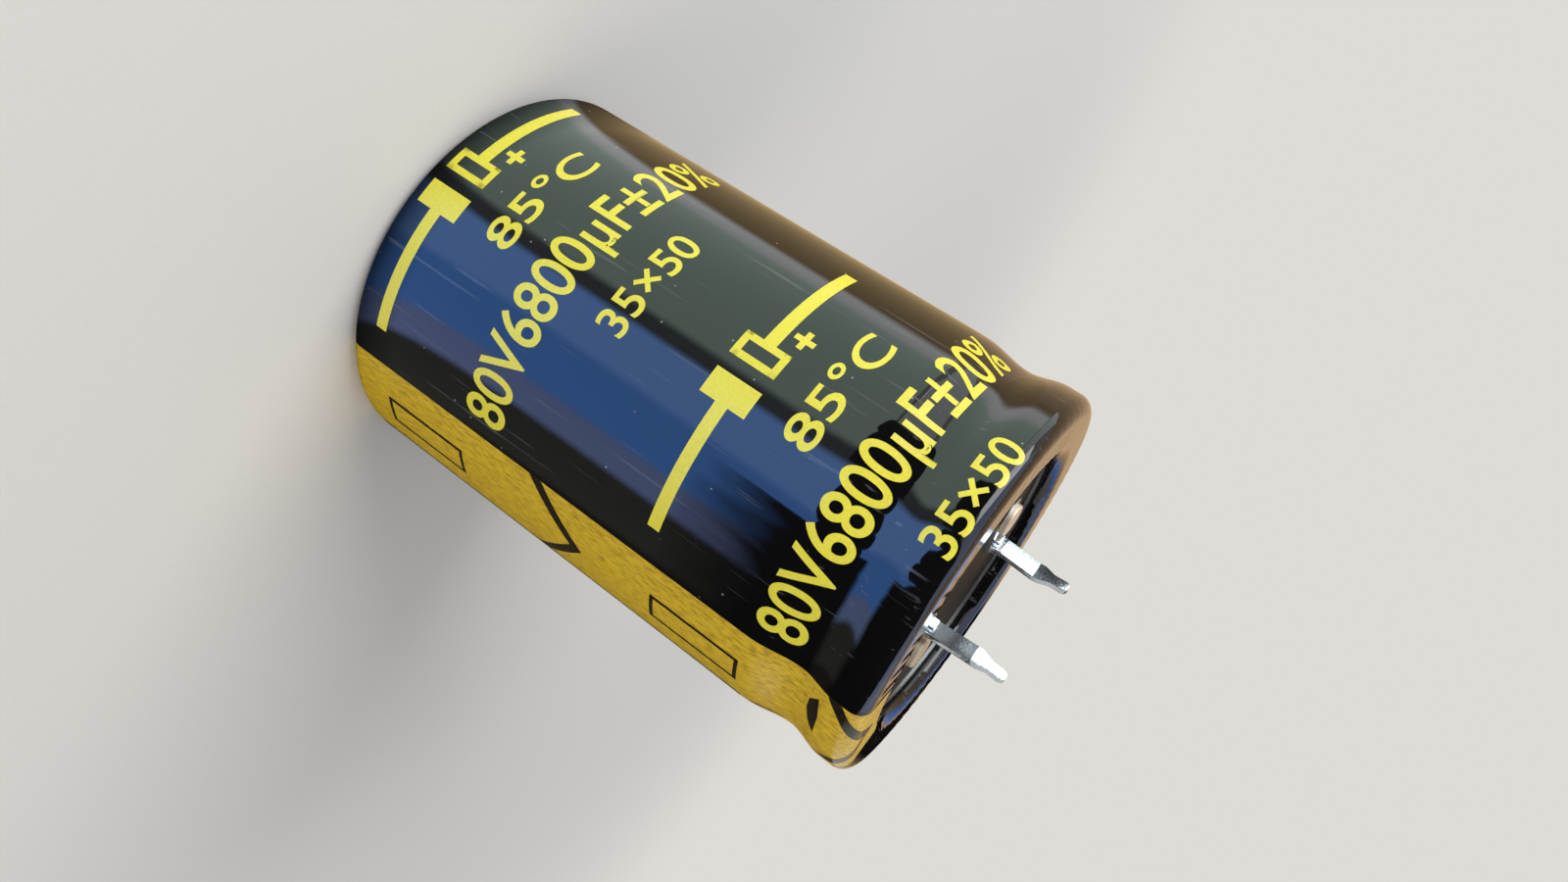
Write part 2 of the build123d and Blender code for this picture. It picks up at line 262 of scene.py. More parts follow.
for name, away, first, last, torn_low, torn_high, soft, fade, top, colour, glow_level in standing_cards:
    tears = [random.uniform(torn_low, torn_high) * mm for _ in range(edge_draws)]
    lobes = [random.uniform(lobe_least, lobe_most) * (torn_high - torn_low) * mm for _ in range(edge_draws)]
    stand_points = []
    inset = []
    for step in range(round((last - first) / stand_step) + 1):
        angle = math.radians(first + step * stand_step)
        tear, share = divmod(step * stand_step / torn_step, 1)
        share = 0.5 - 0.5 * math.cos(math.pi * share)
        foot = tears[int(tear)] * (1 - share) + tears[int(tear) + 1] * share
        lobe, across = divmod(step * stand_step / lobe_step, 1)
        foot -= lobes[int(lobe)] * math.sqrt(1 - (2 * across - 1) ** 2)
        for height in (foot, top * mm):
            stand_points.append((away * mm * math.cos(angle), away * mm * math.sin(angle), height))
            inset.append(min(step * stand_step, last - first - step * stand_step))
    stand_faces = [(k, k + 2, k + 3, k + 1) for k in range(0, len(stand_points) - 2, 2)]
    stand_mesh = bpy.data.meshes.new(name)
    stand_mesh.from_pydata(stand_points, [], stand_faces)
    stand_mesh.attributes.new("inset", "FLOAT", "POINT").data.foreach_set("value", inset)
    stand = bpy.data.objects.new(name, stand_mesh)
    bpy.context.scene.collection.objects.link(stand)
    stand.visible_camera = False
    stand.visible_diffuse = False
    stand.visible_transmission = False
    stand.visible_shadow = False
    if name == "rim_blue_card":
        stand.light_linking.receiver_collection = shows_cards
    material, tree = new_material(name)
    place = add(tree, "ShaderNodeTexCoord").outputs["Object"]
    axes = add(tree, "ShaderNodeSeparateXYZ", {"Vector": place})
    drift = add(tree, "ShaderNodeTexNoise", {"Vector": place, "Scale": 1 / drift_size, "Detail": 2.0})
    rise = add(tree, "ShaderNodeMath", {0: drift.outputs["Fac"], 1: soft * mm, 2: axes.outputs["Z"]},
               operation="MULTIPLY_ADD")
    full = add(tree, "ShaderNodeMapRange", {"Value": rise.outputs["Value"],
                                            "From Min": soft_first * soft * mm,
                                            "From Max": soft_full * soft * mm})
    ends = add(tree, "ShaderNodeAttribute", attribute_name="inset")
    ends = add(tree, "ShaderNodeMapRange", {"Value": ends.outputs["Fac"], "From Min": -end_slack,
                                            "From Max": fade})
    full = add(tree, "ShaderNodeMath", {0: full.outputs["Result"], 1: ends.outputs["Result"]},
               operation="MULTIPLY")
    clear = add(tree, "ShaderNodeBsdfTransparent")
    glow = add(tree, "ShaderNodeEmission", {"Color": linear(colour), "Strength": glow_level})
    both = add(tree, "ShaderNodeMixShader", {0: full.outputs["Value"], 1: clear.outputs["BSDF"],
                                             2: glow.outputs["Emission"]})
    add(tree, "ShaderNodeOutputMaterial", {"Surface": both.outputs["Shader"]})
    stand_mesh.materials.append(material)

# Blue card: a wide clear sheet overhead, in gloss only. It adds a blue sheen to the film's rolled edges and
# hides nothing behind it.
sheet_half_width = 900 * mm
sheet_height = 900 * mm
sheet_glow = 1.6
sheet_mesh = bpy.data.meshes.new("blue_card")
sheet_mesh.from_pydata([(x * sheet_half_width, y * sheet_half_width, sheet_height)
                        for x, y in ((-1, -1), (1, -1), (1, 1), (-1, 1))], [], [(0, 1, 2, 3)])
sheet = bpy.data.objects.new("blue_card", sheet_mesh)
bpy.context.scene.collection.objects.link(sheet)
sheet.visible_camera = False
sheet.visible_diffuse = False
sheet.visible_transmission = False
sheet.visible_shadow = False
sheet.light_linking.receiver_collection = shows_cards
material, tree = new_material("blue_card")
clear = add(tree, "ShaderNodeBsdfTransparent")
glow = add(tree, "ShaderNodeEmission", {"Color": linear("#6f8fd0"), "Strength": sheet_glow})
both = add(tree, "ShaderNodeAddShader", {0: clear.outputs["BSDF"], 1: glow.outputs["Emission"]})
add(tree, "ShaderNodeOutputMaterial", {"Surface": both.outputs["Shader"]})
sheet_mesh.materials.append(material)

# Winding: etched foils and paper rolled up tight, soaked and slid into the can. Its ends show the edges of
# the turns, and its side is the last turn of paper.
# Rolled foil and paper: fine grey and cream rings. Real turns are 0.2 mm apart, drawn at 0.5 mm so they show.
turn_pitch = 0.5 * mm
roll, tree = new_material("rolled_foil_and_paper")
place = add(tree, "ShaderNodeTexCoord").outputs["Object"]
flat_place = add(tree, "ShaderNodeVectorMath", {0: place, 1: (1, 1, 0)}, operation="MULTIPLY")
reach = add(tree, "ShaderNodeVectorMath", {0: flat_place.outputs["Vector"]}, operation="LENGTH")
rings = add(tree, "ShaderNodeMath", {0: reach.outputs["Value"], 1: turn_pitch}, operation="PINGPONG")
rings = add(tree, "ShaderNodeMapRange", {"Value": rings.outputs["Value"], "From Max": turn_pitch})
fibre = add(tree, "ShaderNodeTexNoise", {"Vector": place, "Scale": 1 / (0.6 * mm), "Detail": 4.0})
mixed = add(tree, "ShaderNodeMath", {0: rings.outputs["Result"], 1: fibre.outputs["Fac"]},
            operation="MULTIPLY")
tone = add(tree, "ShaderNodeMix", {"Factor": mixed.outputs["Value"], "A": linear("#cdbf9c"),
                                   "B": linear("#7e7a70")}, data_type="RGBA")
bump = add(tree, "ShaderNodeBump", {"Height": mixed.outputs["Value"], "Strength": 0.4, "Distance": 0.05 * mm})
shader = add(tree, "ShaderNodeBsdfPrincipled", {"Base Color": tone.outputs["Result"], "Roughness": 0.7,
                                                "Normal": bump.outputs["Normal"]})
add(tree, "ShaderNodeOutputMaterial", {"Surface": shader.outputs["BSDF"]})
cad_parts["winding"].material_slots[0].material = roll

# Winding tape: one band of amber polyester film, slit from a wide reel and stuck round the roll's middle. It
# keeps the roll from springing open.
# Polyester tape: glossy amber, with faint streaks along the band from its slitting and a few trapped bubbles.
tape, tree = new_material("amber_polyester_tape")
place = add(tree, "ShaderNodeTexCoord").outputs["Object"]
streak_place = add(tree, "ShaderNodeMapping", {"Vector": place, "Scale": (0.05, 0.05, 1)})
streak = add(tree, "ShaderNodeTexNoise", {"Vector": streak_place.outputs["Vector"], "Scale": 1 / (0.5 * mm)})
tone = add(tree, "ShaderNodeMix", {"Factor": streak.outputs["Fac"], "A": linear("#b7862f"),
                                   "B": linear("#cf9f46")}, data_type="RGBA")
gloss = add(tree, "ShaderNodeMapRange", {"Value": streak.outputs["Fac"], "To Min": 0.2, "To Max": 0.4})
shader = add(tree, "ShaderNodeBsdfPrincipled", {"Base Color": tone.outputs["Result"], "IOR": 1.6,
                                                "Roughness": gloss.outputs["Result"]})
add(tree, "ShaderNodeOutputMaterial", {"Surface": shader.outputs["BSDF"]})
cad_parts["winding_tape"].material_slots[0].material = tape

# Tabs and washers: soft aluminium strips stitched to the foils, folded and laid flat under the board. A
# punched washer spreads the clenched rivet's load on each.
# Rolled aluminium: pale and satin, with long faint lines from the mill about 0.15 mm apart.
strip, tree = new_material("rolled_aluminium_strip")
place = add(tree, "ShaderNodeTexCoord").outputs["Object"]
line_place = add(tree, "ShaderNodeMapping", {"Vector": place, "Scale": (0.06, 1, 0.06)})
mill = add(tree, "ShaderNodeTexNoise", {"Vector": line_place.outputs["Vector"], "Scale": 1 / (0.15 * mm)})
tone = add(tree, "ShaderNodeMix", {"Factor": mill.outputs["Fac"], "A": linear("#b4b6b8"),
                                   "B": linear("#d0d2d3")}, data_type="RGBA")
gloss = add(tree, "ShaderNodeMapRange", {"Value": mill.outputs["Fac"], "To Min": 0.28, "To Max": 0.45})
shader = add(tree, "ShaderNodeBsdfPrincipled", {"Base Color": tone.outputs["Result"], "Metallic": 1.0,
                                                "Roughness": gloss.outputs["Result"]})
add(tree, "ShaderNodeOutputMaterial", {"Surface": shader.outputs["BSDF"]})
for node in ("cathode_tab", "anode_tab", "washer_negative", "washer_positive"):
    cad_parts[node].material_slots[0].material = strip

# Can: one cup of aluminium, impact-drawn, then beaded under the deck and curled over it. Only its closed end
# with the crossed vent score shows, inside the sleeve's lip.
# Drawn aluminium: silver and satin, with draw lines along the cup, fine handling scratches and dull patches.
drawn, tree = new_material("drawn_aluminium")
place = add(tree, "ShaderNodeTexCoord").outputs["Object"]
line_place = add(tree, "ShaderNodeMapping", {"Vector": place, "Scale": (1, 1, 0.03)})
draw_lines = add(tree, "ShaderNodeTexNoise", {"Vector": line_place.outputs["Vector"],
                                              "Scale": 1 / (0.25 * mm), "Detail": 3.0})
patches = add(tree, "ShaderNodeTexNoise", {"Vector": place, "Scale": 1 / (5 * mm), "Detail": 4.0})
tone = add(tree, "ShaderNodeMix", {"Factor": patches.outputs["Fac"], "A": linear("#bcbec0"),
                                   "B": linear("#d3d5d6")}, data_type="RGBA")
wear = add(tree, "ShaderNodeMath", {0: draw_lines.outputs["Fac"], 1: patches.outputs["Fac"]},
           operation="MULTIPLY")
gloss = add(tree, "ShaderNodeMapRange", {"Value": wear.outputs["Value"], "From Max": 0.5, "To Min": 0.22,
                                         "To Max": 0.46})
bump = add(tree, "ShaderNodeBump", {"Height": draw_lines.outputs["Fac"], "Strength": 0.2,
                                    "Distance": 0.01 * mm})
shader = add(tree, "ShaderNodeBsdfPrincipled", {"Base Color": tone.outputs["Result"], "Metallic": 1.0,
                                                "Roughness": gloss.outputs["Result"],
                                                "Normal": bump.outputs["Normal"]})
add(tree, "ShaderNodeOutputMaterial", {"Surface": shader.outputs["BSDF"]})
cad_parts["can"].material_slots[0].material = drawn

# Header board: a disc punched from phenolic paper laminate, which stiffens the rubber bonded on it. It is
# seated on the can's bead, and the rivets pass through it.
# Phenolic laminate: warm brown, with cloudy mottling of about 0.8 mm from the paper's fibres.
laminate, tree = new_material("phenolic_paper_laminate")
place = add(tree, "ShaderNodeTexCoord").outputs["Object"]
cloud = add(tree, "ShaderNodeTexNoise", {"Vector": place, "Scale": 1 / (0.8 * mm), "Detail": 5.0})
tone = add(tree, "ShaderNodeMix", {"Factor": cloud.outputs["Fac"], "A": linear("#4b2a13"),
                                   "B": linear("#7d5128")}, data_type="RGBA")
shader = add(tree, "ShaderNodeBsdfPrincipled", {"Base Color": tone.outputs["Result"], "Roughness": 0.45,
                                                "IOR": 1.55})
add(tree, "ShaderNodeOutputMaterial", {"Surface": shader.outputs["BSDF"]})
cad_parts["header_board"].material_slots[0].material = laminate

# Sealing rubber: the black outer face of the deck, a moulded disc bonded on the board. The can's curl clamps
# it and the rivets pierce it.
# Moulded rubber: near black and matt, with a fine pebble of about 0.2 mm and a bloom of grey dust in patches.
rubber, tree = new_material("moulded_black_rubber")
place = add(tree, "ShaderNodeTexCoord").outputs["Object"]
pebble = add(tree, "ShaderNodeTexNoise", {"Vector": place, "Scale": 1 / (0.2 * mm), "Detail": 2.0})
bloom = add(tree, "ShaderNodeTexNoise", {"Vector": place, "Scale": 1 / (4 * mm), "Detail": 4.0})
dust = add(tree, "ShaderNodeMapRange", {"Value": bloom.outputs["Fac"], "From Min": 0.45, "From Max": 0.8})
tone = add(tree, "ShaderNodeMix", {"Factor": dust.outputs["Result"], "A": linear("#131211"),
                                   "B": linear("#2c2a27")}, data_type="RGBA")
gloss = add(tree, "ShaderNodeMapRange", {"Value": bloom.outputs["Fac"], "To Min": 0.42, "To Max": 0.7})
bump = add(tree, "ShaderNodeBump", {"Height": pebble.outputs["Fac"], "Strength": 0.35, "Distance": 0.03 * mm})
shader = add(tree, "ShaderNodeBsdfPrincipled", {"Base Color": tone.outputs["Result"], "IOR": 1.5,
                                                "Roughness": gloss.outputs["Result"],
                                                "Normal": bump.outputs["Normal"]})
add(tree, "ShaderNodeOutputMaterial", {"Surface": shader.outputs["BSDF"]})
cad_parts["sealing_rubber"].material_slots[0].material = rubber

# Rivets: soft aluminium pins that hold the terminals' feet and carry the current through the deck. They are
# headed on the foot and clenched inside over a washer.
# Headed aluminium: pale and satin, tinted cream as a painted reflection of a tan surface, with small dents of
# about 0.5 mm from the punch, duller in the dips.
headed, tree = new_material("headed_aluminium_painted_tan_reflection")
place = add(tree, "ShaderNodeTexCoord").outputs["Object"]
dents = add(tree, "ShaderNodeTexNoise", {"Vector": place, "Scale": 1 / (0.5 * mm), "Detail": 3.0})
# Painted reflection: both tones are cream, not the metal's own silver, as if the head reflected a tan
# surface.
tone = add(tree, "ShaderNodeMix", {"Factor": dents.outputs["Fac"], "A": linear("#d2c6b5"),
                                   "B": linear("#f2e8da")}, data_type="RGBA")
gloss = add(tree, "ShaderNodeMapRange", {"Value": dents.outputs["Fac"], "To Min": 0.72, "To Max": 0.56})
bump = add(tree, "ShaderNodeBump", {"Height": dents.outputs["Fac"], "Strength": 0.2, "Distance": 0.02 * mm})
shader = add(tree, "ShaderNodeBsdfPrincipled", {"Base Color": tone.outputs["Result"], "Metallic": 1.0,
                                                "Roughness": gloss.outputs["Result"],
                                                "Normal": bump.outputs["Normal"]})
add(tree, "ShaderNodeOutputMaterial", {"Surface": shader.outputs["BSDF"]})
for node in ("rivet_negative", "rivet_positive"):
    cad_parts[node].material_slots[0].material = headed

# Terminals: blades stamped with their feet from steel strip, kinked to snap into a board and tinned all over.
# The stamping and the tin leave every edge rounded.
# Tinned steel: bright and a little uneven, with a spangle of about 0.24 mm and dull handling marks.
tinned, tree = new_material("tinned_steel")
place = add(tree, "ShaderNodeTexCoord").outputs["Object"]
spangle = add(tree, "ShaderNodeTexNoise", {"Vector": place, "Scale": 1 / (0.24 * mm), "Detail": 4.0})
marks = add(tree, "ShaderNodeTexNoise", {"Vector": place, "Scale": 1 / (1.5 * mm), "Detail": 3.0})
tone = add(tree, "ShaderNodeMix", {"Factor": marks.outputs["Fac"], "A": linear("#aeb8c2"),
                                   "B": linear("#d8dee3")}, data_type="RGBA")
gloss = add(tree, "ShaderNodeMapRange", {"Value": marks.outputs["Fac"], "From Min": 0.3, "From Max": 0.7,
                                         "To Min": 0.2, "To Max": 0.12})
bump = add(tree, "ShaderNodeBump", {"Height": spangle.outputs["Fac"], "Strength": 0.5, "Distance": 0.02 * mm})
shader = add(tree, "ShaderNodeBsdfPrincipled", {"Base Color": tone.outputs["Result"], "Metallic": 0.97,
                                                "Roughness": gloss.outputs["Result"],
                                                "Normal": bump.outputs["Normal"]})
add(tree, "ShaderNodeOutputMaterial", {"Surface": shader.outputs["BSDF"]})

edge_round = 0.12 * mm
round_steps = 3
weld_reach = 0.001 * mm
flat_angle = math.radians(2)
sharp_angle = math.radians(35)
shade_angle = math.radians(40)
for node in ("terminal_negative", "terminal_positive"):
    stamping = bmesh.new()
    stamping.from_mesh(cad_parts[node].data)
    bmesh.ops.remove_doubles(stamping, verts=stamping.verts, dist=weld_reach)
    bmesh.ops.dissolve_limit(stamping, angle_limit=flat_angle, verts=stamping.verts, edges=stamping.edges)
    sharp = [edge for edge in stamping.edges
             if len(edge.link_faces) == 2 and edge.calc_face_angle() > sharp_angle]
    bmesh.ops.bevel(stamping, geom=sharp, offset=edge_round, offset_type="OFFSET", segments=round_steps,
                    profile=0.5, affect="EDGES", clamp_overlap=True)
    mesh = bpy.data.meshes.new(f"tinned_{node}")
    stamping.to_mesh(mesh)
    stamping.free()
    mesh.materials.append(tinned)
    mesh.shade_smooth()
    mesh.set_sharp_from_angle(angle=shade_angle)
    blade = bpy.data.objects.new(f"tinned_{node}", mesh)
    bpy.context.scene.collection.objects.link(blade)
    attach(blade, "root")
    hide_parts(node)
    blades.objects.link(blade)

# Sleeve: a tube of PVC film shrunk on the can with hot air. It dips over the can's bead, rolls over the rim
# and the closed end, and keeps faint slack waves on its side and fine pleats where it had to close up.
sleeve_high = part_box("sleeve")[1]
case_radius = sleeve_high[0] / mm
case_length = sleeve_high[2] / mm
sleeve_wall = 0.25
sleeve_corner = 1.4
closed_lip_width = 4.3
closed_lip_radius = case_radius - closed_lip_width
rim_lip_width = 4.9
rim_lip_radius = case_radius - rim_lip_width
rim_corner = 1.3
rim_lip_turn = 1.0
rim_lip_drop = 1.25
film_edge = 0.06
dip_depth = 0.65
dip_drop = 5.65
dip_centre = case_length - dip_drop
dip_below = 4.4
dip_above = 3.2


def arc(centre, radius, start, end, steps):
    """Points of an arc in the plane of radius and height, after its first point."""
    for step in range(1, steps + 1):
        angle = math.radians(start + (end - start) * step / steps)
        yield centre[0] + radius * math.cos(angle), centre[1] + radius * math.sin(angle)


def run(start, end, steps):
    """Points of a straight run in the plane of radius and height, after its first point."""
    for step in range(1, steps + 1):
        share = step / steps
        yield start[0] + (end[0] - start[0]) * share, start[1] + (end[1] - start[1]) * share


def side_radius(height):
    """Radius of the sleeve's side, with the dip over the bead as one smooth wave."""
    reach = dip_above if height > dip_centre else dip_below
    share = min(abs(height - dip_centre) / reach, 1.0)
    return case_radius - dip_depth * (0.5 + 0.5 * math.cos(math.pi * share))


edge_steps = 3
corner_steps = 9
closed_flat_steps = 6
rim_flat_steps = 8
side_steps = 110
profile = [(closed_lip_radius, sleeve_wall), (closed_lip_radius, film_edge)]
profile += arc((closed_lip_radius + film_edge, film_edge), film_edge, 180, 270, edge_steps)
profile += run(profile[-1], (case_radius - sleeve_corner, 0), closed_flat_steps)
profile += arc((case_radius - sleeve_corner, sleeve_corner), sleeve_corner, -90, 0, corner_steps)
side_start = len(profile) - 1
side_top = case_length - rim_corner
for step in range(1, side_steps + 1):
    height = sleeve_corner + (side_top - sleeve_corner) * step / side_steps
    profile.append((side_radius(height), height))
profile += arc((case_radius - rim_corner, side_top), rim_corner, 0, 90, corner_steps)
rim_flat_end = rim_lip_radius + rim_lip_turn
profile += run(profile[-1], (rim_flat_end, case_length), rim_flat_steps)
profile += arc((rim_flat_end, case_length - rim_lip_turn), rim_lip_turn, 90, 180, corner_steps)
hem_height = case_length - rim_lip_drop
profile += [(rim_lip_radius, hem_height + film_edge)]
profile += arc((rim_lip_radius + film_edge, hem_height + film_edge), film_edge, 180, 270, edge_steps)
profile += [(rim_lip_radius + sleeve_wall, hem_height),
            (rim_lip_radius + sleeve_wall, hem_height + rim_lip_turn / 2)]

along = [0.0]
for here, there in zip(profile, profile[1:]):
    along.append(along[-1] + math.dist(here, there))
side_zero = along[side_start] - sleeve_corner
along = [length - side_zero for length in along]
rim_along = along[side_start + side_steps]
hem_along = rim_along + rim_corner * math.pi / 2 + (case_radius - rim_corner - rim_flat_end)

# Each wave in the film has a count round the can, a pitch along it and a phase.
random.seed(7)
slack_waves = [(random.choice((2, 3, 4, 5)), random.uniform(0.05, 0.2), random.uniform(0, math.tau))
               for _ in range(5)]
pleat_waves = [(random.randint(56, 90), random.uniform(0.0, 0.4), random.uniform(0, math.tau))
               for _ in range(6)]
neck_waves = [(random.randint(6, 15), random.uniform(0.1, 0.5), random.uniform(0, math.tau))
              for _ in range(5)]
slack_height = 0.009
pleat_height = 0.006
neck_height = 0.015
rim_blend = rim_corner + 1.5
foot_blend = sleeve_corner + 2.0
hem_calm = 0.7


def film_waves(turn, length):
    """How far the film stands off the can in mm, at a turn round it and a length along its outline."""
    slack, pleats, pucker = (
        sum(math.sin(count * turn + pitch * length + phase) for count, pitch, phase in waves)
        for waves in (slack_waves, pleat_waves, neck_waves))
    into_rim = min(max((length - rim_along) / rim_blend, 0.0), 1.0)
    into_foot = min(max((sleeve_corner - length) / foot_blend, 0.0), 1.0)
    near_dip = math.exp(-((length - dip_centre) / dip_below) ** 2)
    loose = 1.0 - max(into_rim, into_foot)
    in_hem = min(max((length - hem_along) / rim_lip_turn, 0.0), 1.0)
    side = slack_height * slack + neck_height * pucker * near_dip
    return side * loose + pleat_height * pleats * into_rim * (1.0 - hem_calm * in_hem)


def on_film(turn, length, lift):
    """The point that lies lift mm off the film, at a turn round the can and a length along its outline."""
    index = min(max(bisect.bisect_left(along, length), 1), len(along) - 1)
    share = (length - along[index - 1]) / (along[index] - along[index - 1])
    (r0, z0), (r1, z1) = profile[index - 1], profile[index]
    step = math.hypot(r1 - r0, z1 - z0)
    off = lift + film_waves(turn, length)
    radius = r0 + (r1 - r0) * share + (z1 - z0) / step * off
    height = z0 + (z1 - z0) * share - (r1 - r0) / step * off
    return radius * math.cos(turn) * mm, radius * math.sin(turn) * mm, max(height, 0.0) * mm


turns = 360
rows = []
sleeve_points = []
for length in along:
    rows.append(len(sleeve_points))
    sleeve_points += [on_film(math.tau * k / turns, length, 0.0) for k in range(turns)]
stripe_turns = 16
sleeve_faces = []
stripe_faces = []
for low, high in zip(rows, rows[1:]):
    for k in range(turns):
        after = (k + 1) % turns
        sleeve_faces.append((low + k, low + after, high + after, high + k))
        stripe_faces.append(int(k < stripe_turns or k >= turns - stripe_turns))
sleeve_mesh = bpy.data.meshes.new("shrunk_sleeve")
sleeve_mesh.from_pydata(sleeve_points, [], sleeve_faces)
sleeve_mesh.polygons.foreach_set("use_smooth", [True] * len(sleeve_faces))
sleeve = bpy.data.objects.new("shrunk_sleeve", sleeve_mesh)
bpy.context.scene.collection.objects.link(sleeve)
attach(sleeve, "root")
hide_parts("sleeve")
shows_cards.objects.link(sleeve)

# Shrunk PVC film: near black and glossy, with a slight orange peel of about 1 mm from the hot air, hair-fine
# rubs along the tube, and the pale specks of dust that its static charge pulls in.
pvc, tree = new_material("shrunk_pvc_film")
place = add(tree, "ShaderNodeTexCoord").outputs["Object"]
patches = add(tree, "ShaderNodeTexNoise", {"Vector": place, "Scale": 1 / (9 * mm), "Detail": 3.0})
rub_place = add(tree, "ShaderNodeMapping", {"Vector": place, "Scale": (1, 1, 0.03)})
rubs = add(tree, "ShaderNodeTexNoise", {"Vector": rub_place.outputs["Vector"], "Scale": 1 / (0.35 * mm)})
rub = add(tree, "ShaderNodeMapRange", {"Value": rubs.outputs["Fac"], "From Min": 0.66, "From Max": 0.72})
worn = add(tree, "ShaderNodeMath", {0: rub.outputs["Result"], 1: patches.outputs["Fac"]},
           operation="MULTIPLY")
dust = add(tree, "ShaderNodeTexVoronoi", {"Vector": place, "Scale": 1 / (1.8 * mm)})
speck = add(tree, "ShaderNodeMapRange", {"Value": dust.outputs["Distance"], "From Min": 0.05,
                                         "From Max": 0.03})
film_tone = add(tree, "ShaderNodeMix", {"Factor": worn.outputs["Value"], "A": linear("#0c0c0d"),
                                        "B": linear("#505055")}, data_type="RGBA")
dusty = add(tree, "ShaderNodeMix", {"Factor": speck.outputs["Result"], "A": film_tone.outputs["Result"],
                                    "B": linear("#8d8a83")}, data_type="RGBA")
gloss = add(tree, "ShaderNodeMapRange", {"Value": worn.outputs["Value"], "To Min": 0.05, "To Max": 0.3})
peel = add(tree, "ShaderNodeTexNoise", {"Vector": place, "Scale": 1 / (1.0 * mm), "Detail": 1.0})
bump = add(tree, "ShaderNodeBump", {"Height": peel.outputs["Fac"], "Strength": 0.12, "Distance": 0.01 * mm})
shader = add(tree, "ShaderNodeBsdfPrincipled", {"Base Color": dusty.outputs["Result"], "IOR": 1.53,
                                                "Roughness": gloss.outputs["Result"],
                                                "Normal": bump.outputs["Normal"]})
add(tree, "ShaderNodeOutputMaterial", {"Surface": shader.outputs["BSDF"]})
sleeve_mesh.materials.append(pvc)

# Polarity stripe: ink printed along the tube before it was shrunk, on the negative terminal's side. It
# follows the film over the bead and both ends.
# Stripe ink: opaque, a little less glossy than the film, with fine grain along the tube from the roller. Its
# yellow is drawn darker and more golden than the rating ink's, as painted shade and a painted warm bounce.
stripe_ink, tree = new_material("stripe_ink_painted_warm_shade")
place = add(tree, "ShaderNodeTexCoord").outputs["Object"]
streak_place = add(tree, "ShaderNodeMapping", {"Vector": place, "Scale": (1, 1, 0.2)})
grain = add(tree, "ShaderNodeTexNoise", {"Vector": streak_place.outputs["Vector"], "Scale": 1 / (0.18 * mm),
                                         "Detail": 3.0})
grains = add(tree, "ShaderNodeMapRange", {"Value": grain.outputs["Fac"], "From Min": 0.3, "From Max": 0.58})
# Painted shade and warm bounce: both tones are darker and more golden than the yellow ink itself.
tone = add(tree, "ShaderNodeMix", {"Factor": grains.outputs["Result"], "A": linear("#9c7f1c"),
                                   "B": linear("#d6b42a")}, data_type="RGBA")
bump = add(tree, "ShaderNodeBump", {"Height": grain.outputs["Fac"], "Strength": 0.2, "Distance": 0.015 * mm})
shader = add(tree, "ShaderNodeBsdfPrincipled", {"Base Color": tone.outputs["Result"], "Roughness": 0.28,
                                                "IOR": 1.5, "Normal": bump.outputs["Normal"]})
add(tree, "ShaderNodeOutputMaterial", {"Surface": shader.outputs["BSDF"]})
sleeve_mesh.materials.append(stripe_ink)
sleeve_mesh.polygons.foreach_set("material_index", stripe_faces)

# Stripe marks: outlined minus boxes and arrow bands left in the film's own black. The print repeats along
# the tube, so the second arrow starts under the rim and runs over it, beside a small black patch.
cut_slack = 1e-6


def wrap_print(name, flat, lift, grid, material):
    """Lay a flat print, in mm round the can and along it, on the film as one sheet cut to a grid of mm."""
    xs = [vert.co.x for vert in flat.verts]
    ys = [vert.co.y for vert in flat.verts]
    for low, high, normal in ((min(xs), max(xs), Vector((1, 0, 0))), (min(ys), max(ys), Vector((0, 1, 0)))):
        for cut in range(math.ceil(low / grid), math.floor(high / grid) + 1):
            everything = flat.verts[:] + flat.edges[:] + flat.faces[:]
            bmesh.ops.bisect_plane(flat, geom=everything, plane_co=normal * cut * grid, plane_no=normal,
                                   dist=cut_slack)
    for vert in flat.verts:
        vert.co = on_film(vert.co.x / case_radius, vert.co.y, lift)
    bmesh.ops.recalc_face_normals(flat, faces=flat.faces)
    mesh = bpy.data.meshes.new(name)
    flat.to_mesh(mesh)
    flat.free()
    mesh.polygons.foreach_set("use_smooth", [True] * len(mesh.polygons))
    mesh.materials.append(material)
    sheet = bpy.data.objects.new(name, mesh)
    bpy.context.scene.collection.objects.link(sheet)
    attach(sheet, "root")
    shows_cards.objects.link(sheet)


def patch(flat, points):
    """Add one field of ink to a flat print, from its corners."""
    flat.faces.new([flat.verts.new((*point, 0)) for point in points])


def bar(flat, start, end, width):
    """Add one straight bar of ink to a flat print, with square ends at its two points."""
    course = (Vector(end) - Vector(start)).normalized()
    beside = Vector((-course.y, course.x)) * width / 2
    patch(flat, (Vector(start) - beside, Vector(end) - beside, Vector(end) + beside, Vector(start) + beside))


def outline(flat, left, low, right, high, width):
    """Add the four bars of an outlined box to a flat print, mitred by overlap at the corners."""
    corners = ((left, low), (right, low), (right, high), (left, high))
    for k in range(4):
        start, end = Vector(corners[k]), Vector(corners[(k + 1) % 4])
        past = (end - start).normalized() * width / 2
        bar(flat, start - past, end + past, width)


# Bare film line: the sleeve's black seen between fields of ink, dulled where the ink bled in.
mark_ink, tree = new_material("bare_film_line")
place = add(tree, "ShaderNodeTexCoord").outputs["Object"]
bleed = add(tree, "ShaderNodeTexNoise", {"Vector": place, "Scale": 1 / (0.5 * mm), "Detail": 2.0})
tone = add(tree, "ShaderNodeMix", {"Factor": bleed.outputs["Fac"], "A": linear("#141210"),
                                   "B": linear("#2a2415")}, data_type="RGBA")
shader = add(tree, "ShaderNodeBsdfPrincipled", {"Base Color": tone.outputs["Result"], "Roughness": 0.2,
                                                "IOR": 1.53})
add(tree, "ShaderNodeOutputMaterial", {"Surface": shader.outputs["BSDF"]})

